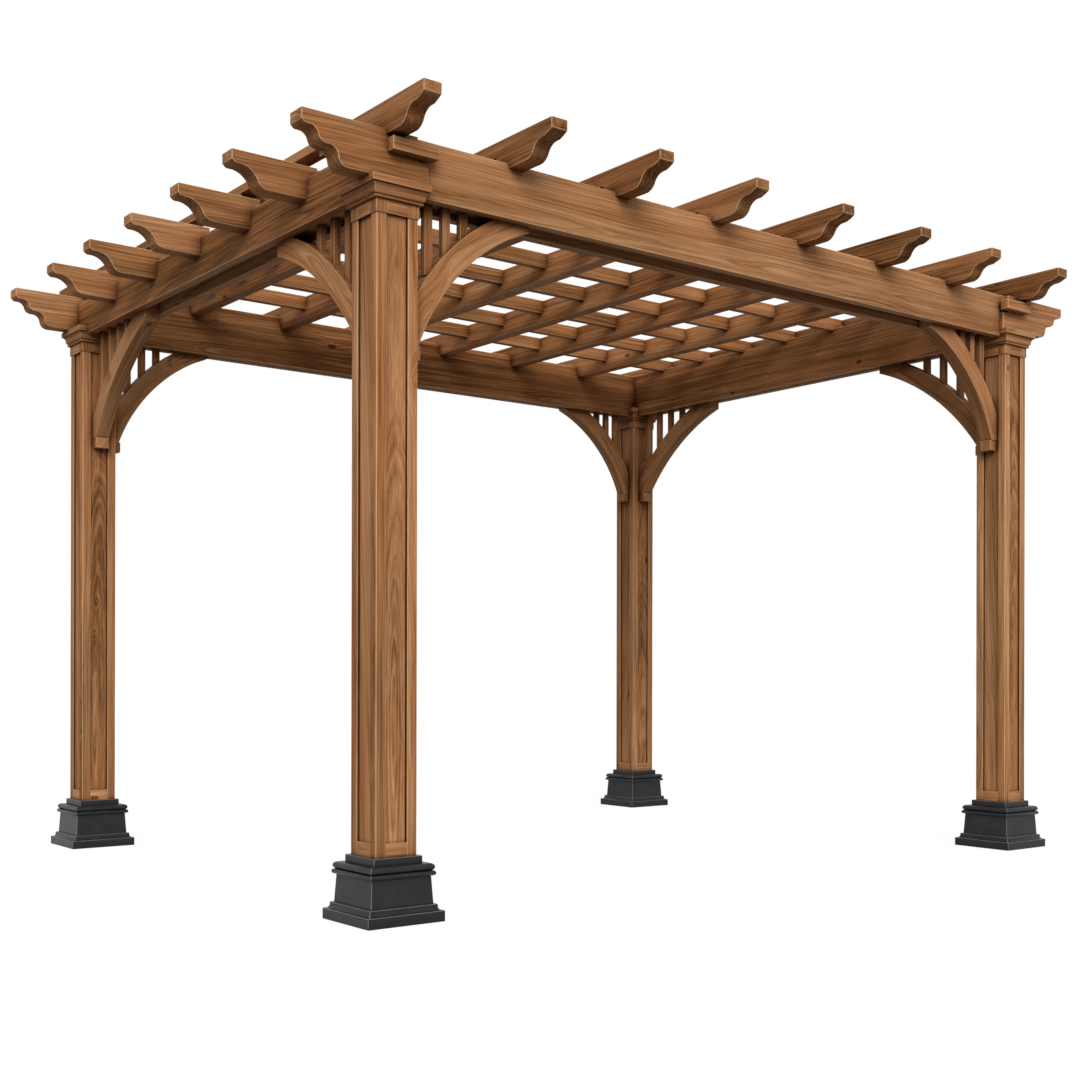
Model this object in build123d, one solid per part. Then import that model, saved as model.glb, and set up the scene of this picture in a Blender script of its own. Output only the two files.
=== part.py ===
from build123d import *
import os
from math import sqrt

# A free-standing wooden pergola, in millimetres. Four boxed posts stand in moulded plinths and
# carry a ring of double beams, eight scrolled rafters and seven purlins let into them.
# The origin is on the ground under the middle of the roof. +X runs along the front beam and
# +Y from the front beam to the back one.

# Driving dimensions: the plan
span_x = 3570.0
span_y = 2740.0
post_width = 165.0
half_post = post_width / 2

# Levels, measured up from the ground
plinth_top = 226.0
post_top = 2464.0
capital_top = 2535.0
beam_bottom = 2500.0
inner_board_bottom = 2488.0
lap_level = 2615.0
beam_top = 2700.0
inner_board_top = 2742.0
side_board_top = 2662.0
rafter_bottom = 2682.0
rafter_top = 2797.0

# Posts: recessed panels between stiles and rails, and a collar under the capital
stile = 40.0
panel_depth = 9.0
bottom_rail = 48.0
collar_height = 46.0
collar_proud = 4.0

# Plinth, as half widths of its levels and their heights
plinth_foot_half = 154.0
plinth_foot_height = 38.0
plinth_foot_ledge = 5.0
plinth_ogee_height = 14.0
plinth_ogee_hollow = 4.0
plinth_ring_half = 136.0
plinth_ring_height = 8.0
plinth_body_low_half = 125.0
plinth_body_high_half = 119.0
plinth_body_height = 98.0
plinth_astragal_half = 126.0
plinth_astragal_height = 17.0
plinth_astragal_bulge = 6.0
plinth_torus_half = 120.0
plinth_torus_height = 25.0
plinth_torus_bulge = 9.0
plinth_torus_draw = 4.0
plinth_neck_half = 97.0

# Capital
slab_half = 118.0
slab_thickness = 24.0
shadow_gap = 3.0
shadow_half = 106.0
cyma_top_half = 113.0
cyma_bottom_half = 92.0
cyma_hollow = 3.0
bead_half = 93.0
bead_bulge = 4.0
bead_height = 9.0

# Beams: two boards with a gap between them
board = 42.0
beam_face = 76.0

# Scrolled ends. The tip is the height of the end face, and the rest is measured in from it.
overhang = 375.0
tail_thickness = 80.0
tail_proud = 18.0
tail_seam = 75.0
tail_tip = 40.0
tail_scroll = 174.0
tail_crease_in = 94.0
tail_crease_down = 60.0
tail_crease_ledge = 9.0
nose_ledge = 4.0
nose_length = 15.0
nose_drop = 10.0
nose_bulge = 2.5
nose_quirk = 12.0
outrigger_top = 2708.0
outrigger_depth = 122.0
outrigger_tip = 38.0
outrigger_scroll = 142.0
outrigger_turn = 0.64
outrigger_count = 5
rafter_overhang = 330.0
rafter_tip = 38.0
rafter_scroll = 152.0
rafter_crease_in = 43.0
rafter_crease_down = 19.0
rafter_crease_ledge = 15.0
rafter_crease_bulge = 1.5

# Cleats on the faces of the tails, beside the end rafters
cleat_top = 2668.0
cleat_length = 188.0
cleat_height = 46.0
cleat_depth = 42.0
cleat_shift = 44.0

# Rafters and purlins
rafter_thickness = 71.0
rafter_count = 8
end_rafter_shift = 20.0
end_rafter_bar = 33.0
end_rafter_step = 90.0
purlin_count = 7
purlin_thickness = 45.0
purlin_depth = 66.0

# Braces: concentric arcs from the post up between the beam boards, with slats above them.
# The arcs along the sides are flatter and reach further than those along the front and back.
brace_thickness = 2 * (beam_face - board)
brace_depth = 86.0
brace_foot_level = 1998.0
brace_rise = 45.0
head_strip_rise = 12.0
front_arc_out = 891.0
front_arc_up = 1708.0
front_arc_radius = 825.0
front_reach = 600.0
front_slat_count = 3
front_slat_first = 172.0
front_slat_pitch = 76.0
side_arc_out = 1109.0
side_arc_up = 1311.0
side_arc_radius = 1205.0
side_reach = 730.0
side_slat_count = 4
side_slat_first = 136.0
side_slat_pitch = 103.0
foot_block_height = 50.0
foot_block_depth = 44.0
foot_block_width = 62.0
slat_width = 32.0
slat_thickness = 26.0
slat_lap = 30.0

half_x = span_x / 2
half_y = span_y / 2
corners = {
    "front_left": (-1, -1),
    "front_right": (1, -1),
    "back_left": (-1, 1),
    "back_right": (1, 1),
}


def save(name, shape):
    export_step(shape, f"parts/{name}.step")


def block(low, high):
    """A rectangular piece between two opposite corners."""
    size = [b - a for a, b in zip(low, high)]
    centre = [(a + b) / 2 for a, b in zip(low, high)]
    return Pos(*centre) * Box(*size)


def square_moulding(outline):
    """A square block whose four sides share one moulded outline, mitred at the corners.

    The outline is a face in the XZ plane, symmetrical about Z. Run through in both directions
    and intersected, it gives the moulding on all four sides.
    """
    reach = outline.bounding_box().size.X
    run = extrude(outline, amount=reach, both=True)
    return run & (Rot(0, 0, 90) * run)


def mirrored_outline(edges):
    """Close a right-hand moulding outline with its mirror image and a flat top and bottom."""
    wire = Wire(edges)
    half = wire + mirror(wire, about=Plane.YZ)
    points = [wire @ 0, wire @ 1]
    caps = [Line((-p.X, 0, p.Z), (p.X, 0, p.Z)) for p in points]
    return make_face(Wire(half.edges() + ShapeList(edge for cap in caps for edge in cap.edges())))


def bulged_arc(start, end, bulge):
    """Arc in the XZ plane between two points, bowed to the right of the way from one to the other."""
    run = (end[0] - start[0], end[1] - start[1])
    length = sqrt(run[0] ** 2 + run[1] ** 2)
    x = (start[0] + end[0]) / 2 + bulge * run[1] / length
    z = (start[1] + end[1]) / 2 - bulge * run[0] / length
    return ThreePointArc((start[0], 0, start[1]), (x, 0, z), (end[0], 0, end[1]))


def plinth():
    """Moulded foot: base slab, ogee, ring, tapered body, astragal, torus and neck."""
    z1 = plinth_foot_height
    z2 = z1 + plinth_ogee_height
    z3 = z2 + plinth_ring_height
    z4 = z3 + plinth_body_height
    z5 = z4 + plinth_astragal_height
    z6 = z5 + plinth_torus_height
    ledge_half = plinth_foot_half - plinth_foot_ledge
    torus_top_half = plinth_torus_half - plinth_torus_draw
    torus_middle = (plinth_torus_half + plinth_torus_bulge, 0, (z5 + z6) / 2)
    astragal_middle = (plinth_astragal_half + plinth_astragal_bulge, 0, (z4 + z5) / 2)
    edges = [
        Line((plinth_foot_half, 0, 0), (plinth_foot_half, 0, z1)),
        Line((plinth_foot_half, 0, z1), (ledge_half, 0, z1)),
        bulged_arc((ledge_half, z1), (plinth_ring_half, z2), -plinth_ogee_hollow),
        Line((plinth_ring_half, 0, z2), (plinth_ring_half, 0, z3)),
        Line((plinth_ring_half, 0, z3), (plinth_body_low_half, 0, z3)),
        Line((plinth_body_low_half, 0, z3), (plinth_body_high_half, 0, z4)),
        Line((plinth_body_high_half, 0, z4), (plinth_astragal_half, 0, z4)),
        ThreePointArc((plinth_astragal_half, 0, z4), astragal_middle, (plinth_astragal_half, 0, z5)),
        Line((plinth_astragal_half, 0, z5), (plinth_torus_half, 0, z5)),
        ThreePointArc((plinth_torus_half, 0, z5), torus_middle, (torus_top_half, 0, z6)),
        Line((torus_top_half, 0, z6), (plinth_neck_half, 0, z6)),
        Line((plinth_neck_half, 0, z6), (plinth_neck_half, 0, plinth_top)),
    ]
    sleeve = square_moulding(mirrored_outline(edges))
    return sleeve - block((-half_post, -half_post, 0), (half_post, half_post, plinth_top))


def post():
    """Square post with a recessed panel in each face and a proud collar at the top."""
    shaft = block((-half_post, -half_post, 0), (half_post, half_post, post_top))
    collar_half = half_post + collar_proud
    collar_bottom = post_top - collar_height
    shaft += block((-collar_half, -collar_half, collar_bottom), (collar_half, collar_half, post_top))
    panel_half = half_post - stile
    recess = block(
        (-panel_half, -half_post - collar_proud, plinth_top + bottom_rail),
        (panel_half, -half_post + panel_depth, collar_bottom),
    )
    for quarter in range(4):
        shaft -= Rot(0, 0, 90 * quarter) * recess
    return shaft


def capital():
    """Crown of the post: bead, cyma, shadow gap and square slab."""
    bead_top = post_top + bead_height
    slab_bottom = capital_top - slab_thickness
    cyma_top = slab_bottom - shadow_gap
    low = (cyma_bottom_half, bead_top)
    high = (cyma_top_half, cyma_top)
    middle = ((low[0] + high[0]) / 2, (low[1] + high[1]) / 2)
    edges = [
        bulged_arc((bead_half, post_top), (bead_half, bead_top), bead_bulge),
        Line((bead_half, 0, bead_top), (cyma_bottom_half, 0, bead_top)),
        bulged_arc(low, middle, cyma_hollow),
        bulged_arc(middle, high, -cyma_hollow),
        Line((cyma_top_half, 0, cyma_top), (shadow_half, 0, cyma_top)),
        Line((shadow_half, 0, cyma_top), (shadow_half, 0, slab_bottom)),
        Line((shadow_half, 0, slab_bottom), (slab_half, 0, slab_bottom)),
        Line((slab_half, 0, slab_bottom), (slab_half, 0, capital_top)),
    ]
    return square_moulding(mirrored_outline(edges))


def ogee(start, end, turn=0.5):
    """Two arcs from start to end, hollow then round, level at both ends.

    They meet on the straight line between the two, at a share of the way.
    """
    meeting = (start[0] + (end[0] - start[0]) * turn, start[1] + (end[1] - start[1]) * turn)
    hollow = TangentArc(start, meeting, tangent=(1, 0))
    rounded = TangentArc(meeting, end, tangent=hollow % 1)
    return [hollow, rounded]


def nose(tip):
    """Small rounded step under the end face of a tail. Returns its edges and the point where it ends."""
    lip = (nose_ledge, -tip)
    low = (nose_ledge + nose_length, -tip - nose_drop)
    end = (low[0] + nose_quirk, low[1])
    return [Line((0, -tip), lip), SagittaArc(lip, low, -nose_bulge), Line(low, end)], end


def tail_outline(depth):
    """Double scroll of a beam tail, from the bottom of its end face to the level underside."""
    edges, start = nose(tail_tip)
    crease = (tail_crease_in, -tail_tip - tail_crease_down)
    ledge_end = (tail_crease_in + tail_crease_ledge, crease[1])
    edges += ogee(start, crease)
    edges.append(Line(crease, ledge_end))
    return edges + ogee(ledge_end, (tail_scroll, -depth))


def outrigger_outline(depth):
    """Single scroll of an outrigger, with its long hollow and short round."""
    edges, start = nose(outrigger_tip)
    return edges + ogee(start, (outrigger_scroll, -depth), outrigger_turn)


def rafter_outline(depth):
    """Scroll of a rafter: a sloping run, a short ledge, then a hollow and a round."""
    crease = (rafter_crease_in, -rafter_tip - rafter_crease_down)
    ledge_end = (rafter_crease_in + rafter_crease_ledge, crease[1])
    slope = SagittaArc((0, -rafter_tip), crease, -rafter_crease_bulge)
    return [slope, Line(crease, ledge_end), *ogee(ledge_end, (rafter_scroll, -depth))]


def scrolled_board(length, depth, scroll, thickness):
    """A member that points along -X, centred on Y, with its top at z = 0 and its scrolled end at x = 0.

    The scroll is the list of edges from the bottom of the end face to the level underside.
    """
    start = scroll[0] @ 0
    foot = scroll[-1] @ 1
    edges = [
        Line((0, 0), start),
        *scroll,
        Line(foot, (length, -depth)),
        Line((length, -depth), (length, 0)),
        Line((length, 0), (0, 0)),
    ]
    face = make_face(Wire([edge for part in edges for edge in part.edges()]))
    return extrude(Plane.XZ * face, amount=thickness / 2, both=True)


def along_y(member, x, y, z):
    """Turn a member that points along -X so that it points along -Y, and place it."""
    return Pos(x, y, z) * Rot(0, 0, 90) * member


def both_ends(member):
    """Join a half member, made for the low end of Y, to its mirror image."""
    return member + mirror(member, about=Plane.XZ)


purlin_rows = [-half_y + span_y * (i + 1) / (purlin_count + 1) for i in range(purlin_count)]


def purlin_slots(x):
    """What the purlins take out of the top of a rafter at x."""
    reach = rafter_thickness
    slots = [
        block((x - reach, y - purlin_thickness / 2, rafter_top - purlin_depth),
              (x + reach, y + purlin_thickness / 2, rafter_top + 1))
        for y in purlin_rows
    ]
    return Part() + slots


def over_beams(x, outward):
    """What both beams take out of the underside of a rafter at x, to a distance outward of each one.

    The notch steps up over the inner board, which stands higher than the outer one.
    """
    low = (x - rafter_thickness, rafter_bottom - 1)
    high = x + rafter_thickness
    outer = block((low[0], -half_y - outward, low[1]), (high, -half_y, beam_top))
    inner = block((low[0], -half_y, low[1]), (high, -half_y + beam_face, inner_board_top))
    notch = outer + inner
    return notch + mirror(notch, about=Plane.XZ)


def rafter(x):
    """Inner rafter: scrolled at both ends, notched over the beams and slotted for the purlins."""
    depth = rafter_top - rafter_bottom
    length = rafter_overhang + half_y
    half = scrolled_board(length, depth, rafter_outline(depth), rafter_thickness)
    whole = both_ends(along_y(half, x, -half_y - rafter_overhang, rafter_top))
    return whole - over_beams(x, beam_face) - purlin_slots(x)


def end_rafter(side):
    """End rafter: scrolled tails joined by a shallow bar that lies on the purlin ends."""
    x = side * (half_x + end_rafter_shift)
    depth = rafter_top - rafter_bottom
    tail_length = rafter_overhang + end_rafter_step
    half = scrolled_board(tail_length, depth, rafter_outline(depth), rafter_thickness)
    half += block((0, -rafter_thickness / 2, -end_rafter_bar),
                  (rafter_overhang + half_y, rafter_thickness / 2, 0))
    whole = both_ends(along_y(half, x, -half_y - rafter_overhang, rafter_top))
    return whole - over_beams(x, beam_face + tail_proud)


def purlin(y):
    """Purlin let flush into the rafters, its ends notched over the inner boards of the side beams.

    Beyond the notches the ends are cut down to pass under the end rafters.
    """
    reach = half_x + end_rafter_shift + rafter_thickness / 2
    low = rafter_top - purlin_depth
    body = block((-reach, y - purlin_thickness / 2, low), (reach, y + purlin_thickness / 2, rafter_top))
    for side in (-1, 1):
        inner = reach - rafter_thickness
        xs = sorted((side * inner, side * (reach + 1)))
        body -= block((xs[0], y - purlin_thickness, rafter_top - end_rafter_bar),
                      (xs[1], y + purlin_thickness, rafter_top + 1))
        xs = sorted((side * (half_x - beam_face), side * (half_x - beam_face + board)))
        body -= block((xs[0], y - purlin_thickness, low - 1), (xs[1], y + purlin_thickness, inner_board_top))
    return body


def over_capitals(body):
    """Notch a beam board over the capitals."""
    for sx, sy in corners.values():
        x, y = sx * half_x, sy * half_y
        body -= block((x - slab_half, y - slab_half, post_top - 1),
                      (x + slab_half, y + slab_half, capital_top))
    return body


def front_beam(side):
    """Beam along the front or back.

    The outer board laps the tails at its ends. The inner one is deeper, and is notched over the capitals.
    """
    y = side * half_y
    outer_end = half_x - slab_half
    lap_end = half_x - tail_seam
    inner_end = half_x + beam_face - board
    near, far = sorted((y + side * beam_face, y + side * (beam_face - board)))
    outer = block((-outer_end, near, beam_bottom), (outer_end, far, beam_top))
    outer += block((-lap_end, near, lap_level), (lap_end, far, beam_top))
    near, far = sorted((y - side * beam_face, y - side * (beam_face - board)))
    inner = block((-inner_end, near, inner_board_bottom), (inner_end, far, inner_board_top))
    return [outer, over_capitals(inner)]


def side_beam(side):
    """Beam along the left or right: the outer board is shallower, and carries the outriggers."""
    x = side * half_x
    outer_end = half_y + beam_face + tail_proud - tail_thickness
    inner_end = half_y - beam_face
    near, far = sorted((x + side * beam_face, x + side * (beam_face - board)))
    outer = block((near, -outer_end, beam_bottom), (far, outer_end, side_board_top))
    near, far = sorted((x - side * beam_face, x - side * (beam_face - board)))
    inner = block((near, -inner_end, inner_board_bottom), (far, inner_end, inner_board_top))
    return [over_capitals(outer), over_capitals(inner)]


def beam_tail(sx, sy):
    """Scrolled end of a front or back beam, on the capital, with the cleat beside the end rafter."""
    length = overhang + slab_half
    depth = beam_top - capital_top
    face = half_y + beam_face + tail_proud
    tail = scrolled_board(length, depth, tail_outline(depth), tail_thickness)
    tail = Pos(-half_x - overhang, -face + tail_thickness / 2, beam_top) * tail
    tail -= block((-half_x + tail_seam, -face - 1, lap_level),
                  (-half_x + length, -face + tail_thickness + 1, beam_top + 1))
    middle = -half_x + cleat_shift
    tail += block((middle - cleat_length / 2, -face - cleat_depth, cleat_top - cleat_height),
                  (middle + cleat_length / 2, -face, cleat_top))
    if sx > 0:
        tail = mirror(tail, about=Plane.YZ)
    if sy > 0:
        tail = mirror(tail, about=Plane.XZ)
    return tail


def outriggers(side):
    """Scrolled tails along a side beam, one for each bay, notched over its outer board."""
    length = overhang - beam_face + board
    tails = []
    for i in range(outrigger_count):
        y = -half_y + span_y * (i + 1) / (outrigger_count + 1)
        tail = scrolled_board(length, outrigger_depth, outrigger_outline(outrigger_depth), tail_thickness)
        tail = Pos(-half_x - overhang, y, outrigger_top) * tail
        tail -= block((-half_x - beam_face, y - tail_thickness, outrigger_top - 2 * outrigger_depth),
                      (-half_x, y + tail_thickness, side_board_top))
        tails.append(tail if side < 0 else mirror(tail, about=Plane.YZ))
    return tails


def bracket(arc_out, arc_up, inner_radius, reach, slat_count, slat_first, slat_pitch):
    """Curved brace with its slats and head strip, on the +X side of a post at the origin, centred on Y."""
    outer_radius = inner_radius + brace_depth
    top = beam_bottom + brace_rise
    half_thickness = brace_thickness / 2
    ring = Circle(outer_radius) - Circle(inner_radius)
    window = Pos((half_post + reach) / 2, (brace_foot_level + top) / 2) * Rectangle(
        reach - half_post, top - brace_foot_level)
    side = (Pos(arc_out, arc_up) * ring) & window
    body = extrude(Plane.XZ * side, amount=half_thickness, both=True)
    body += block((half_post, -foot_block_width / 2, brace_foot_level - foot_block_height),
                  (half_post + foot_block_depth, foot_block_width / 2, brace_foot_level))
    strip_bottom = beam_bottom + head_strip_rise
    body += block((slab_half, -half_thickness, strip_bottom), (reach, half_thickness, top))
    for i in range(slat_count):
        out = slat_first + slat_pitch * i
        rise = sqrt(outer_radius**2 - (arc_out - out - slat_width / 2) ** 2)
        body += block((out - slat_width / 2, -slat_thickness / 2, arc_up + rise - slat_lap),
                      (out + slat_width / 2, slat_thickness / 2, strip_bottom))
    return body


os.makedirs("parts", exist_ok=True)

plinth_shape = plinth()
post_shape = post()
capital_shape = capital()
front_bracket = bracket(front_arc_out, front_arc_up, front_arc_radius, front_reach,
                        front_slat_count, front_slat_first, front_slat_pitch)
side_bracket = bracket(side_arc_out, side_arc_up, side_arc_radius, side_reach,
                       side_slat_count, side_slat_first, side_slat_pitch)
for corner, (sx, sy) in corners.items():
    place = Pos(sx * half_x, sy * half_y, 0)
    save(f"plinth_{corner}", place * plinth_shape)
    save(f"post_{corner}", place * post_shape)
    save(f"capital_{corner}", place * capital_shape)
    save(f"beam_tail_{corner}", beam_tail(sx, sy))
    along_x = Rot(0, 0, 0 if sx < 0 else 180)
    save(f"bracket_{corner}_x", place * along_x * front_bracket)
    along_span_y = Rot(0, 0, 90 if sy < 0 else -90)
    save(f"bracket_{corner}_y", place * along_span_y * side_bracket)

save("beam_front", Compound(children=front_beam(-1)))
save("beam_back", Compound(children=front_beam(1)))
save("beam_left", Compound(children=side_beam(-1)))
save("beam_right", Compound(children=side_beam(1)))
save("outriggers_left", Compound(children=outriggers(-1)))
save("outriggers_right", Compound(children=outriggers(1)))

save("end_rafter_left", end_rafter(-1))
save("end_rafter_right", end_rafter(1))
for i in range(1, rafter_count - 1):
    save(f"rafter_{i}", rafter(-half_x + span_x * i / (rafter_count - 1)))
for i, y in enumerate(purlin_rows):
    save(f"purlin_{i + 1}", purlin(y))
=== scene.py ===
import math
import random

import bmesh
import bpy
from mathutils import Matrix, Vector


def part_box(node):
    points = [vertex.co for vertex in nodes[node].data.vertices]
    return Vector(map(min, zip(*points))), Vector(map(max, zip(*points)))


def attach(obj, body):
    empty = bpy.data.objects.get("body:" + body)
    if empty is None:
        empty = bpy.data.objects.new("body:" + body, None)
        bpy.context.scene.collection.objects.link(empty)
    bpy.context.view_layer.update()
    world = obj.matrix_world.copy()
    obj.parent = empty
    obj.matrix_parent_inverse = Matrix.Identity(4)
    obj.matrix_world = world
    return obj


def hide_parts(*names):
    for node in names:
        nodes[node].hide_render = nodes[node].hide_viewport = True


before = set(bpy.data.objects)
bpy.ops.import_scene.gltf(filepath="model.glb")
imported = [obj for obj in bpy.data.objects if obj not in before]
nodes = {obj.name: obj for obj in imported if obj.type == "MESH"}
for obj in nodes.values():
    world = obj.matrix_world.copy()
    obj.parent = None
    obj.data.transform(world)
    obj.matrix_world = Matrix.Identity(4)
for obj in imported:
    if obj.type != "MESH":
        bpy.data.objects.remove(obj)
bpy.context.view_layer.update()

# Everything is in metres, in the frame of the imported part. The posts give the plan.
CORNERS = {
    "front_left": (-1, -1),
    "front_right": (1, -1),
    "back_left": (-1, 1),
    "back_right": (1, 1),
}
post_low, post_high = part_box("post_front_right")
POST_X = (post_low[0] + post_high[0]) / 2
POST_Y = -(post_low[1] + post_high[1]) / 2
POST_TOP = post_high[2]
PLINTH_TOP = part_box("plinth_front_right")[1][2]
COLLAR_HALF = (post_high[0] - post_low[0]) / 2
COLLAR_PROUD = 0.004
POST_HALF = COLLAR_HALF - COLLAR_PROUD
STILE = 0.040
PANEL_DEPTH = 0.009
PANEL_LAP = 0.010
PANEL_GAP = 0.003
NO_PAINTED_SHADE = (0, 0, 0)
PANEL_TOP = POST_TOP - 0.046
PANEL_BOTTOM = PLINTH_TOP + 0.048
JOINT_GAP = 0.0004

ARRIS = 0.0025
FINE_ARRIS = 0.0012
PLINTH_ARRIS = 0.0018
ARRIS_STEPS = 2
EASING_ROOM = 1.3
SHARP = math.radians(24)
SQUARE_ON = 0.99
WELD = 0.00002
FLAT = math.radians(0.6)

AXES = {"x": (0, 1, 2), "y": (1, 0, 2), "z": (2, 0, 1)}
# The roof timbers are given a lower colour level than the posts and the front: painted shade for
# the roof
PAINTED_SHADE_PARTS = ("rafter", "end_rafter", "purlin", "beam_left", "beam_right", "beam_back")


class Board:
    """One length of timber. It turns a point into (along, across, depth) from its own pith."""

    def __init__(self, key, axis, middle, route=None):
        luck = random.Random(key)
        self.start = luck.uniform(0, 12)
        # Roof timbers get the lower half of the range, as painted shade; within each half the level
        # is random
        self.tone = luck.uniform(0, 0.5) + (0 if key.startswith(PAINTED_SHADE_PARTS) else 0.5)
        self.across = luck.uniform(-0.05, 0.05)
        self.depth = luck.choice((-1, 1)) * luck.uniform(0.05, 0.11)
        self.drift = luck.uniform(-0.012, 0.012)
        if "panel" in key:
            # Sawn through the middle of a tapering trunk, so its rings make arches
            self.across = luck.uniform(-0.012, 0.012)
            self.depth = math.copysign(luck.uniform(0.045, 0.070), self.depth)
            self.drift = math.copysign(luck.uniform(0.045, 0.075), -self.depth)
        self.axes = AXES[axis]
        self.middle = middle
        self.route = route

    def grain(self, point):
        local = self.route(point) if self.route else Vector(point) - Vector(self.middle)
        along, across, depth = (local[i] for i in self.axes)
        return along + self.start, across + self.across, depth + self.depth - along * self.drift


def mesh_of(*names):
    """The welded mesh of one or more CAD nodes, with its flat faces made whole."""
    mesh = bmesh.new()
    for name in names:
        mesh.from_mesh(nodes[name].data)
    bmesh.ops.remove_doubles(mesh, verts=mesh.verts, dist=WELD)
    bmesh.ops.dissolve_limit(mesh, angle_limit=FLAT, verts=mesh.verts, edges=mesh.edges)
    return mesh


def round_arrises(mesh, size=ARRIS):
    """Ease the sharp outer edges that have room for it, and mark the new faces, which the materials
    paint paler for rubbing and a painted highlight.
    """
    mark = mesh.faces.layers.int.get("eased") or mesh.faces.layers.int.new("eased")

    def has_room(edge):
        least = EASING_ROOM * size * edge.calc_length()
        return all(face.calc_area() > least for face in edge.link_faces)

    edges = [e for e in mesh.edges
             if e.is_manifold and e.is_convex and e.calc_face_angle(0) > SHARP and has_room(e)]
    made = bmesh.ops.bevel(mesh, geom=edges, offset=size, offset_type="OFFSET",
                           segments=ARRIS_STEPS, profile=0.5, affect="EDGES", clamp_overlap=True)
    for face in made["faces"]:
        face[mark] = 1


def add_block(mesh, low, high):
    """Add a closed rectangular piece between two corners."""
    made = bmesh.ops.create_cube(mesh, size=1)
    size = [b - a for a, b in zip(low, high)]
    middle = [(a + b) / 2 for a, b in zip(low, high)]
    for vert in made["verts"]:
        vert.co = Vector([m + s * c for m, s, c in zip(middle, size, vert.co)])


def parts_of(mesh):
    """The separate solids in a mesh, as lists of faces."""
    seen = set()
    parts = []
    for face in mesh.faces:
        if face in seen:
            continue
        part = [face]
        seen.add(face)
        for member in part:
            for edge in member.edges:
                for other in edge.link_faces:
                    if other not in seen:
                        seen.add(other)
                        part.append(other)
        parts.append(part)
    return parts


def middle_of(faces):
    points = [v.co for f in faces for v in f.verts]
    return [(min(p[i] for p in points) + max(p[i] for p in points)) / 2 for i in range(3)]


def make_piece(name, mesh, boards, material, slot, *replaced):
    """Turn a mesh into a piece of the model. boards gives the board of each face."""
    arris = mesh.faces.layers.int.get("eased")
    marks = [face[arris] if arris else 0 for face in mesh.faces]
    owners = [boards(face) for face in mesh.faces]
    data = bpy.data.meshes.new(name)
    mesh.to_mesh(data)
    mesh.free()
    corners = [(owner, mark, data.vertices[index].co)
               for polygon, owner, mark in zip(data.polygons, owners, marks)
               for index in polygon.vertices]
    grain = [value for owner, mark, point in corners for value in owner.grain(point)]
    tones = [owner.tone for owner, mark, point in corners]
    marks = [mark for owner, mark, point in corners]
    # Corner attributes: grain place; a random level that also holds the painted roof shade; arris
    # marks, 1 on eased faces painted paler for rubbing and a painted highlight, -1 on faces painted
    # with shade
    values = {"grain": grain, "tone": tones, "arris": marks}
    for key in values:
        kind = "FLOAT_VECTOR" if key == "grain" else "FLOAT"
        data.attributes.new(key, kind, "CORNER")
    for key, numbers in values.items():
        data.attributes[key].data.foreach_set("vector" if key == "grain" else "value", numbers)
    data.polygons.foreach_set("use_smooth", [True] * len(data.polygons))
    data.set_sharp_from_angle(angle=SHARP)
    data.materials.append(material)
    piece = bpy.data.objects.new(name, data)
    bpy.context.scene.collection.objects.link(piece)
    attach(piece, "root")
    if replaced:
        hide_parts(*replaced)
    return piece


class Graph:
    """A material's nodes, with short ways to add and join them."""

    def __init__(self, tree):
        self.tree = tree
        self.tree.nodes.clear()

    def feed(self, socket, value):
        if isinstance(value, bpy.types.NodeSocket):
            self.tree.links.new(value, socket)
        else:
            socket.default_value = value

    def add(self, kind, inputs=None, **settings):
        node = self.tree.nodes.new(kind)
        for key, value in settings.items():
            setattr(node, key, value)
        for key, value in (inputs or {}).items():
            self.feed(node.inputs[key], value)
        return node

    def attribute(self, name, output="Fac"):
        return self.add("ShaderNodeAttribute", attribute_name=name).outputs[output]

    def math(self, operation, a, b=0.0, clamp=False):
        node = self.add("ShaderNodeMath", {0: a, 1: b}, operation=operation, use_clamp=clamp)
        return node.outputs[0]

    def vector(self, operation, a, b):
        return self.add("ShaderNodeVectorMath", {0: a, 1: b}, operation=operation).outputs["Vector"]

    def length(self, a):
        return self.add("ShaderNodeVectorMath", {0: a}, operation="LENGTH").outputs["Value"]

    def noise(self, place, stretch, detail=2.0, roughness=0.5, output="Fac"):
        """Noise with its own scale along each direction of the grain."""
        scaled = self.vector("MULTIPLY", place, stretch)
        inputs = {"Vector": scaled, "Scale": 1.0, "Detail": detail, "Roughness": roughness}
        return self.add("ShaderNodeTexNoise", inputs).outputs[output]

    def ramp(self, value, stops):
        """A curve through (position, value) stops, as a grey value."""
        return self.palette(value, [(position, (level,) * 3) for position, level in stops])

    def palette(self, value, stops):
        """A run of colours through (position, colour) stops."""
        node = self.add("ShaderNodeValToRGB", {"Fac": value})
        ramp = node.color_ramp
        while len(ramp.elements) < len(stops):
            ramp.elements.new(0.5)
        for element, (position, colour) in zip(ramp.elements, stops):
            element.position = position
            element.color = (*colour, 1)
        return node.outputs["Color"]

    def mix(self, factor, a, b, blend="MIX"):
        node = self.add("ShaderNodeMix", data_type="RGBA", blend_type=blend)
        for index, value in ((0, factor), (6, a), (7, b)):
            self.feed(node.inputs[index], value)
        return node.outputs[2]

    def spread(self, value, low, high):
        """Stretch a value between 0 and 1 over low to high."""
        node = self.add("ShaderNodeMapRange", {"Value": value, "To Min": low, "To Max": high})
        return node.outputs["Result"]


def new_material(name):
    material = bpy.data.materials.new(name)
    material.use_nodes = True
    return material, Graph(material.node_tree)
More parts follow.
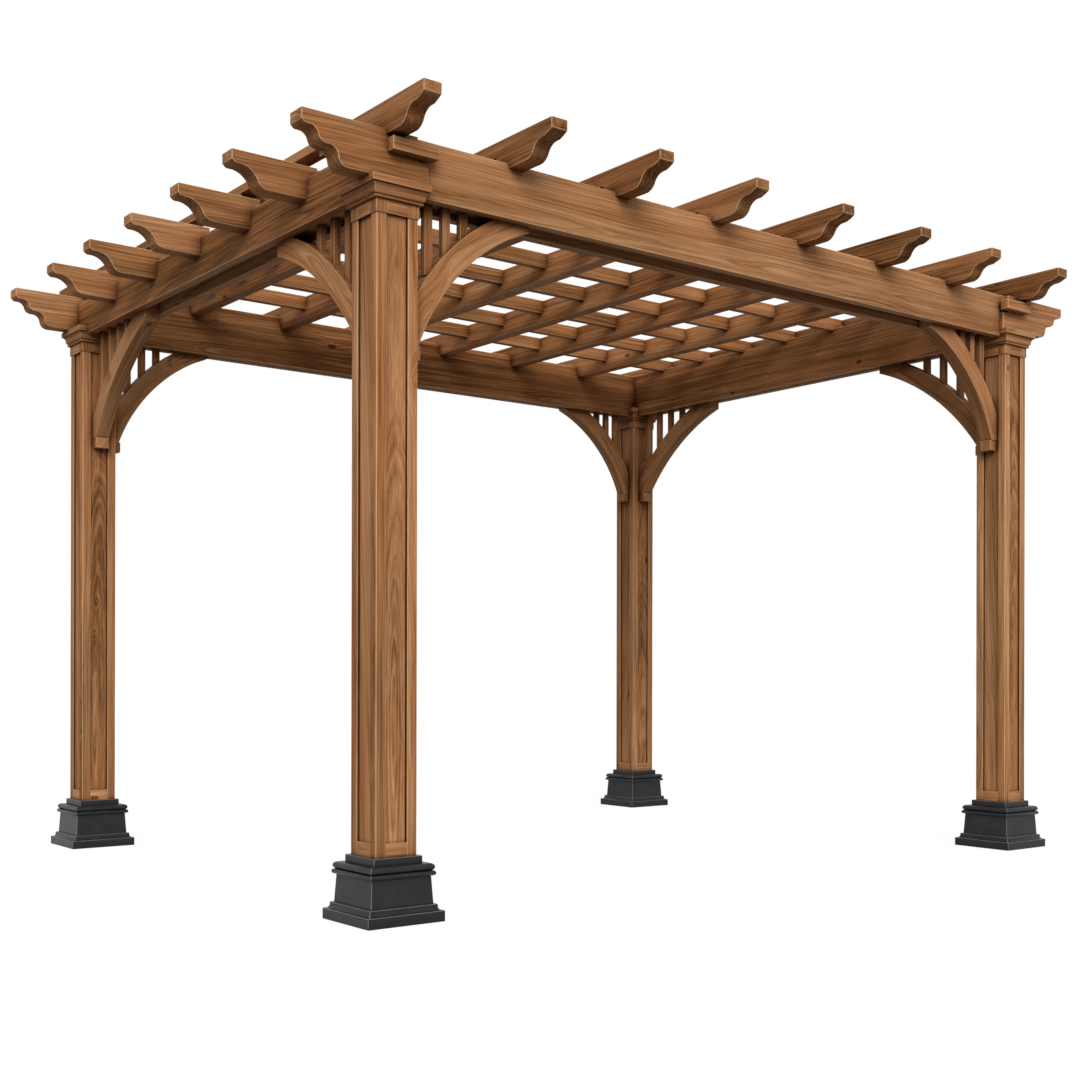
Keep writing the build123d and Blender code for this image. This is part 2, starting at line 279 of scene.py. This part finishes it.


# Wood colours from the darkest line to the palest streak, a paler arris for rubbing and a painted
# highlight, and painted shade for the stiles' inner walls
WOOD_STOPS = [
    (0.00, (0.055, 0.022, 0.009)),
    (0.28, (0.182, 0.074, 0.024)),
    (0.52, (0.326, 0.151, 0.060)),
    (0.76, (0.455, 0.238, 0.112)),
    (1.00, (0.600, 0.355, 0.190)),
]
# Arris colour: rubbing together with a painted highlight on the edges
WOOD_WEAR_AND_HIGHLIGHT = (0.72, 0.46, 0.26, 1)
WOOD_RED = (1.00, 0.88, 0.79, 1)
# Painted shade on the stiles' inner walls and under the post head band
WOOD_RECESS_SHADE = (0.035, 0.014, 0.007, 1)
WOOD_MEAN = 0.64
RING_WIDTH = 0.0085
RING_WANDER = 3.5
YEARS_PER_METRE = 38.0
KNOTS_PER_METRE = (2.4, 5.0, 5.0)
KNOT_SWIRL = 0.030
# Painted shade in gaps and inner corners: its reach, its lowest level, and a warm cast painted in
# for light bounced between boards
CREVICE_REACH = 0.060
WOOD_CREVICE_SHADE = 0.12
WOOD_SHADE_WARMTH = 0.2
WOOD_GLOSS = 0.05
MIDDLE = (0.5, 0.5, 0.5)


def painted_crevice_shade(g, reach, low):
    """Painted shade: darkening in narrow gaps and inner corners, from the nearby surfaces within
    reach.
    """
    node = g.add("ShaderNodeAmbientOcclusion", {"Distance": reach}, samples=4)
    return g.ramp(node.outputs["AO"], [(0.25, low), (0.60, 0.62), (0.92, 1.0)])


def shade(g, level, warmth):
    """A grey to multiply by for painted shade, whose green and blue fall away faster as it darkens:
    a warm cast painted in for light bounced between boards.
    """
    green = g.math("POWER", level, 1 + warmth)
    blue = g.math("POWER", level, 1 + 2 * warmth)
    return g.add("ShaderNodeCombineXYZ", {0: level, 1: green, 2: blue}).outputs[0]


def wood():
    """Stained softwood: growth rings round each board's own pith, streaks, knots, arrises paler for
    rubbing and a painted highlight, painted shade in gaps, in the posts' recessed sides and on the
    roof timbers.

    The noise scales are per metre along, across and through the board.
    """
    material, g = new_material("wood")
    grain = g.attribute("grain", "Vector")
    tone = g.attribute("tone")
    arris = g.attribute("arris")

    knot_cells = g.vector("MULTIPLY", grain, KNOTS_PER_METRE)
    knots = g.add("ShaderNodeTexVoronoi", {"Vector": knot_cells, "Scale": 1.0})
    from_knot = knots.outputs["Distance"]
    knot = g.ramp(from_knot, [(0.045, 1.0), (0.075, 0.0)])
    near_knot = g.ramp(from_knot, [(0.03, 1.0), (0.12, 0.45), (0.30, 0.0)])
    swirl = g.math("MULTIPLY", near_knot, KNOT_SWIRL)

    slow = g.noise(grain, (0.7, 3.2, 3.2), 2.0, output="Color")
    slow = g.vector("MULTIPLY", g.vector("SUBTRACT", slow, MIDDLE), (0, 0.110, 0.110))
    ripple = g.noise(grain, (4.5, 26.0, 26.0), 2.0, output="Color")
    ripple = g.vector("MULTIPLY", g.vector("SUBTRACT", ripple, MIDDLE), (0, 0.007, 0.007))
    wandered = g.vector("ADD", grain, g.vector("ADD", slow, ripple))
    from_pith = g.math("ADD", g.length(g.vector("MULTIPLY", wandered, (0, 1, 1))), swirl)
    age = g.math("MULTIPLY", from_pith, YEARS_PER_METRE)
    years = g.add("ShaderNodeTexNoise", {"W": age, "Scale": 1.0, "Detail": 1.0},
                  noise_dimensions="1D").outputs["Fac"]
    wander = g.math("MULTIPLY", years, RING_WANDER)
    phase = g.math("ADD", g.math("DIVIDE", from_pith, RING_WIDTH), wander)
    season = g.math("FRACT", phase)
    latewood = g.ramp(season, [(0.0, 0.15), (0.35, 0.0), (0.80, 0.95), (0.92, 0.9), (1.0, 0.15)])
    patch = g.ramp(g.noise(grain, (0.7, 9.0, 9.0), 2.0), [(0.30, 0.35), (0.68, 1.0)])
    latewood = g.math("MULTIPLY", latewood, patch)

    streak = g.noise(grain, (0.8, 24.0, 24.0), 3.0, 0.62)
    along = g.add("ShaderNodeSeparateXYZ", {0: wandered}).outputs["X"]
    rings = g.add("ShaderNodeCombineXYZ", {0: along, 1: from_pith}).outputs[0]
    ring_line = g.noise(rings, (1.1, 190.0, 1.0), 3.0, 0.6)
    line = g.noise(grain, (1.5, 105.0, 105.0), 2.0, 0.6)
    fibre = g.noise(grain, (5.0, 230.0, 230.0), 3.0, 0.6)
    pore = g.ramp(g.noise(grain, (9.0, 600.0, 600.0), 1.0), [(0.60, 0.0), (0.74, 1.0)])
    broad = g.noise(grain, (0.9, 5.0, 5.0), 3.0)

    level = WOOD_MEAN
    # The last term is the board's random level, which also holds the painted roof shade
    for pattern, low, high in (
            (streak, -0.38, 0.38), (line, -0.20, 0.20), (ring_line, -0.42, 0.42),
            (fibre, -0.30, 0.30), (broad, -0.40, 0.40), (tone, -0.20, 0.08)):
        level = g.math("ADD", level, g.spread(pattern, low, high))
    for mark, amount in ((latewood, 0.19), (pore, 0.12), (knot, 0.55)):
        level = g.math("SUBTRACT", level, g.math("MULTIPLY", mark, amount), clamp=mark is knot)
    colour = g.palette(level, WOOD_STOPS)
    redness = g.ramp(g.noise(grain, (0.9, 7.0, 7.0), 1.0), [(0.35, 0.0), (0.65, 1.0)])
    colour = g.mix(redness, colour, g.mix(1.0, colour, WOOD_RED, "MULTIPLY"))
    # Arrises painted paler in patches: rubbing together with a painted highlight
    patchy_highlight_and_wear = g.spread(g.noise(grain, (9.0, 60.0, 60.0), 2.0), 0.25, 1.0)
    colour = g.mix(g.math("MULTIPLY", arris, patchy_highlight_and_wear, clamp=True), colour, WOOD_WEAR_AND_HIGHLIGHT)
    # Painted shade on the stiles' inner walls and under the head band
    colour = g.mix(g.math("MULTIPLY", arris, -0.75, clamp=True), colour, WOOD_RECESS_SHADE)
    # Painted shade in gaps and inner corners, warmer as it darkens
    painted_shade = painted_crevice_shade(g, CREVICE_REACH, WOOD_CREVICE_SHADE)
    colour = g.mix(1.0, colour, shade(g, painted_shade, WOOD_SHADE_WARMTH), "MULTIPLY")

    roughness = g.math("ADD", g.spread(latewood, 0.62, 0.48), g.math("MULTIPLY", fibre, 0.12))
    height = g.math("ADD", g.math("MULTIPLY", latewood, 0.5), g.math("MULTIPLY", fibre, 0.5))
    height = g.math("SUBTRACT", height, g.math("MULTIPLY", g.math("ADD", pore, knot), 0.5))
    bump = g.add("ShaderNodeBump", {"Strength": 0.45, "Distance": 0.0012, "Height": height})
    shader = g.add("ShaderNodeBsdfPrincipled", {
        "Base Color": colour, "Roughness": roughness, "Specular IOR Level": WOOD_GLOSS,
        "Normal": bump.outputs[0]})
    g.add("ShaderNodeOutputMaterial", {"Surface": shader.outputs[0]})
    return material


PAINT = (0.014, 0.014, 0.015, 1)
PAINT_PALE = (0.024, 0.024, 0.025, 1)
# Plinth arris colour: rubbing together with a painted highlight
PAINT_WEAR_AND_HIGHLIGHT = (0.210, 0.210, 0.212, 1)
PAINT_GLOSS = 0.20
# Lowest level of the painted shade in the plinth's gaps and corners
PAINT_CREVICE_SHADE = 0.20


def painted():
    """Charcoal satin plinth, slightly mottled, paler along its edges for rubbing and a painted
    highlight, with painted shade in its gaps and inner corners.
    """
    material, g = new_material("plinth")
    place = g.attribute("grain", "Vector")
    arris = g.attribute("arris")
    mottle = g.noise(place, (18.0, 18.0, 18.0), 4.0, 0.6)
    speckle = g.noise(place, (500.0, 500.0, 500.0), 2.0)
    colour = g.mix(g.ramp(mottle, [(0.35, 0.0), (0.68, 1.0)]), PAINT, PAINT_PALE)
    # Edges painted paler in patches: rubbing together with a painted highlight
    paint_highlight_and_wear = g.math("MULTIPLY", arris, g.spread(g.noise(place, (40.0, 40.0, 40.0), 3.0), 0.40, 1.0))
    colour = g.mix(paint_highlight_and_wear, colour, PAINT_WEAR_AND_HIGHLIGHT)
    # Painted shade in gaps and inner corners
    painted_shade = painted_crevice_shade(g, CREVICE_REACH, PAINT_CREVICE_SHADE)
    colour = g.mix(1.0, colour, shade(g, painted_shade, 0.0), "MULTIPLY")
    roughness = g.math("ADD", g.spread(mottle, 0.26, 0.38), g.math("MULTIPLY", speckle, 0.08))
    bump = g.add("ShaderNodeBump", {"Strength": 0.15, "Distance": 0.0008, "Height": speckle})
    shader = g.add("ShaderNodeBsdfPrincipled", {
        "Base Color": colour, "Roughness": roughness, "Specular IOR Level": PAINT_GLOSS,
        "Normal": bump.outputs[0]})
    g.add("ShaderNodeOutputMaterial", {"Surface": shader.outputs[0]})
    return material


wood_finish = wood()
plinth_finish = painted()


def post_timbers(name, foot):
    """The timbers of one post, each as its corners, board, arris and painted-shade directions:
    faces turned against them, the stiles' inner walls and the band's underside, are painted with
    shade.
    """
    h, inner = POST_HALF, POST_HALF - STILE
    head = h + COLLAR_PROUD
    timbers = []

    def keep(low, high, key, axis, arris, painted_shade_sides=NO_PAINTED_SHADE):
        board = Board(f"{name}{key}", axis, (foot.x, foot.y, low[2]))
        timbers.append((foot + Vector(low), foot + Vector(high), board, arris, painted_shade_sides))

    keep((-inner, -inner, 0), (inner, inner, POST_TOP), "core", "z", 0)
    for ix in (-1, 1):
        for iy in (-1, 1):
            for part, out, bottom, top, arris, painted_shade_sides in (
                    ("stile", h, 0, PANEL_TOP - JOINT_GAP, ARRIS, (ix, iy, 0)),
                    ("block", head, PANEL_TOP, POST_TOP, FINE_ARRIS, NO_PAINTED_SHADE)):
                (x0, x1), (y0, y1) = (sorted((i * out, i * inner)) for i in (ix, iy))
                keep((x0, y0, bottom), (x1, y1, top), f"{part}{ix}{iy}", "z", arris, painted_shade_sides)
    panel = (h - PANEL_DEPTH, PANEL_BOTTOM - PANEL_LAP, PANEL_TOP + PANEL_LAP, PANEL_GAP)
    rail = (h, 0, PANEL_BOTTOM, JOINT_GAP)
    band = (head, PANEL_TOP, POST_TOP, JOINT_GAP)
    for side in (-1, 1):
        for axis in ("x", "y"):
            for part, (out, bottom, top, gap), run, arris, painted_shade_sides in (
                    ("panel", panel, "z", 0, NO_PAINTED_SHADE),
                    ("rail", rail, axis, FINE_ARRIS, NO_PAINTED_SHADE),
                    ("band", band, axis, FINE_ARRIS, (0, 0, 1))):
                near, far = sorted((side * inner, side * out))
                half = inner - gap
                if axis == "x":
                    low, high = (-half, near, bottom), (half, far, top)
                else:
                    low, high = (near, -half, bottom), (far, half, top)
                keep(low, high, f"{part}{axis}{side}", run, arris, painted_shade_sides)
    return timbers


def join_blocks(timbers):
    """One mesh of eased blocks. Its board layer numbers the timber that each face is part of."""
    mesh = bmesh.new()
    mesh.faces.layers.int.new("eased")
    mesh.faces.layers.int.new("board")
    for index, (low, high, board, arris, painted_shade_sides) in enumerate(timbers):
        part = bmesh.new()
        add_block(part, low, high)
        part.faces.layers.int.new("eased")
        part.faces.layers.int.new("board")
        if arris:
            round_arrises(part, arris)
        eased = part.faces.layers.int.get("eased")
        tag = part.faces.layers.int.get("board")
        part.normal_update()
        for face in part.faces:
            face[tag] = index
            # Faces turned against the painted-shade directions are marked -1 and painted with shade
            if any(n * r < -SQUARE_ON for n, r in zip(face.normal, painted_shade_sides)):
                face[eased] = -1
        data = bpy.data.meshes.new("scrap")
        part.to_mesh(data)
        part.free()
        mesh.from_mesh(data)
        bpy.data.meshes.remove(data)
    return mesh


def posts():
    """Boxed posts: stiles at the corners, recessed panels, bottom rails and a head band."""
    for corner, (sx, sy) in CORNERS.items():
        name = f"post_{corner}"
        timbers = post_timbers(name, Vector((sx * POST_X, sy * POST_Y, 0)))
        mesh = join_blocks(timbers)
        tag = mesh.faces.layers.int.get("board")

        def board(face):
            return timbers[face[tag]][2]

        make_piece(f"wood_{name}", mesh, board, wood_finish, "wood", name)


def straight_pieces():
    """Members of one timber or several apart, each with its grain along one direction."""
    runs = {"x": ["beam_front", "beam_back", "outriggers_left", "outriggers_right"],
            "y": ["beam_left", "beam_right", "end_rafter_left", "end_rafter_right"]}
    runs["y"] += [name for name in nodes if name.startswith("rafter_")]
    runs["x"] += [name for name in nodes if name.startswith("purlin_")]
    runs["x"] += [name for name in nodes if name.startswith("beam_tail_")]
    for axis, names in runs.items():
        for name in names:
            mesh = mesh_of(name)
            round_arrises(mesh)
            boards = {}
            for i, part in enumerate(parts_of(mesh)):
                board = Board(f"{name}{i}", axis, middle_of(part))
                boards.update({face: board for face in part})
            make_piece(f"wood_{name}", mesh, boards.get, wood_finish, "wood", name)


def capitals():
    """Capitals, with the grain along each side."""
    for corner, (sx, sy) in CORNERS.items():
        name = f"capital_{corner}"
        mesh = mesh_of(name)
        round_arrises(mesh, FINE_ARRIS)
        middle = (sx * POST_X, sy * POST_Y, POST_TOP)
        along_x = Board(f"{name}x", "x", middle)
        along_y = Board(f"{name}y", "y", middle)

        def side(face):
            return along_y if abs(face.normal.x) > abs(face.normal.y) else along_x

        make_piece(f"wood_{name}", mesh, side, wood_finish, "wood", name)


# Braces: centre and middle radius of the arcs, out from the post and up from the ground
ARCS = {"x": (0.891, 1.708, 0.868), "y": (1.109, 1.311, 1.248)}
SLAT_HALF = 0.0145
SLAT_LEVEL = 2.4
SLAT_STEP = 0.02
HEAD_STRIP_LEVEL = 2.5125
HEAD_STRIP_REACH = 0.002


def brackets():
    """Curved braces: the grain follows the arc, the slats stand upright, the strip lies level."""
    for corner, (sx, sy) in CORNERS.items():
        for axis, (arc_out, arc_up, radius) in ARCS.items():
            name = f"bracket_{corner}_{axis}"
            mesh = mesh_of(name)
            round_arrises(mesh, FINE_ARRIS)
            i, j = AXES[axis][:2]
            post = (sx * POST_X, sy * POST_Y)
            inward = -1 if post[i] > 0 else 1

            def along_arc(point, i=i, j=j, post=post, inward=inward):
                out = (point[i] - post[i]) * inward - arc_out
                up = point[2] - arc_up
                return Vector((math.atan2(up, -out) * radius, math.hypot(out, up) - radius,
                               point[j] - post[j]))

            arc = Board(f"{name}arc", "x", (0, 0, 0), along_arc)
            strip = Board(f"{name}strip", axis, (*post, HEAD_STRIP_LEVEL))
            slats = {}

            def owner(face):
                centre = face.calc_center_median()
                out = abs(centre[i] - post[i])
                if centre[2] > HEAD_STRIP_LEVEL - HEAD_STRIP_REACH:
                    return strip
                above_arc = math.hypot(out - arc_out, centre[2] - arc_up) > radius
                if not above_arc or abs(centre[j] - post[j]) >= SLAT_HALF:
                    return arc
                number = round(out / SLAT_STEP)
                if number not in slats:
                    slats[number] = Board(f"{name}slat{number}", "z", (*post, SLAT_LEVEL))
                return slats[number]

            make_piece(f"wood_{name}", mesh, owner, wood_finish, "wood", name)


def plinths():
    """Painted feet, one board's grain coordinates each."""
    for corner, (sx, sy) in CORNERS.items():
        name = f"plinth_{corner}"
        mesh = mesh_of(name)
        round_arrises(mesh, PLINTH_ARRIS)
        board = Board(name, "z", (sx * POST_X, sy * POST_Y, 0))
        make_piece(f"painted_{name}", mesh, lambda face: board, plinth_finish, "plinth", name)


posts()
straight_pieces()
capitals()
brackets()
plinths()

# Studio: a white floor that keeps a soft shadow, a white world and one large soft lamp
FLOOR_RADIUS = 60.0
FLOOR_SIDES = 96
FLOOR_DROP = 0.0005
FLOOR_ALBEDO = (0.16, 0.16, 0.16, 1)
FLOOR_GLOW = 0.86
SKY_LOW = 0.42
SKY_HIGH = 1.00
SUN_STRENGTH = 2.2
SUN_TOWARDS = Vector((-0.46, -0.74, 0.44))
SUN_SPREAD = math.radians(40)


def seen_directly(g):
    """1 for rays from the camera, from gloss or through glass, and 0 for rays that light things."""
    path = g.add("ShaderNodeLightPath").outputs
    some = g.math("MAXIMUM", path["Is Camera Ray"], path["Is Glossy Ray"])
    return g.math("MAXIMUM", some, path["Is Transmission Ray"])


def studio():
    """The floor, the world and the lamp."""
    mesh = bmesh.new()
    bmesh.ops.create_circle(mesh, cap_ends=True, segments=FLOOR_SIDES, radius=FLOOR_RADIUS)
    data = bpy.data.meshes.new("floor")
    mesh.to_mesh(data)
    mesh.free()
    floor = bpy.data.objects.new("floor", data)
    floor.location.z = -FLOOR_DROP
    bpy.context.scene.collection.objects.link(floor)
    material, g = new_material("floor")
    diffuse = g.add("ShaderNodeBsdfDiffuse", {"Color": FLOOR_ALBEDO})
    strength = g.math("MULTIPLY", seen_directly(g), FLOOR_GLOW)
    glow = g.add("ShaderNodeEmission", {"Strength": strength})
    total = g.add("ShaderNodeAddShader", {0: diffuse.outputs[0], 1: glow.outputs[0]})
    g.add("ShaderNodeOutputMaterial", {"Surface": total.outputs[0]})
    data.materials.append(material)

    world = bpy.data.worlds.new("studio")
    world.use_nodes = True
    g = Graph(world.node_tree)
    direction = g.add("ShaderNodeTexCoord").outputs["Generated"]
    height = g.add("ShaderNodeSeparateXYZ", {0: direction}).outputs["Z"]
    level = g.math("MAXIMUM", g.spread(height, SKY_LOW, SKY_HIGH), seen_directly(g))
    sky = g.add("ShaderNodeBackground", {"Color": (1, 1, 1, 1), "Strength": level})
    g.add("ShaderNodeOutputWorld", {"Surface": sky.outputs[0]})
    bpy.context.scene.world = world

    lamp = bpy.data.lights.new("sun", "SUN")
    lamp.energy = SUN_STRENGTH
    lamp.angle = SUN_SPREAD
    sun = bpy.data.objects.new("sun", lamp)
    sun.rotation_euler = SUN_TOWARDS.to_track_quat("Z", "Y").to_euler()
    bpy.context.scene.collection.objects.link(sun)


# Camera at the photograph's viewing angle
CAMERA_PLACE = (-4.433, -5.680, 0.864)
CAMERA_TURN = 0.6579
CAMERA_ROLL = 0.0020
SENSOR = 36.0
FOCAL_LENGTH = 48.43
LENS_RISE = 0.1209
FAR_CLIP = 200


def camera():
    data = bpy.data.cameras.new("camera")
    data.sensor_width = SENSOR
    data.lens = FOCAL_LENGTH
    data.shift_y = LENS_RISE
    data.clip_end = FAR_CLIP
    eye = bpy.data.objects.new("camera", data)
    eye.location = CAMERA_PLACE
    eye.rotation_euler = (math.pi / 2, -CAMERA_ROLL, -CAMERA_TURN)
    bpy.context.scene.collection.objects.link(eye)
    bpy.context.scene.camera = eye


studio()
camera()
bpy.context.scene.view_settings.view_transform = "Standard"
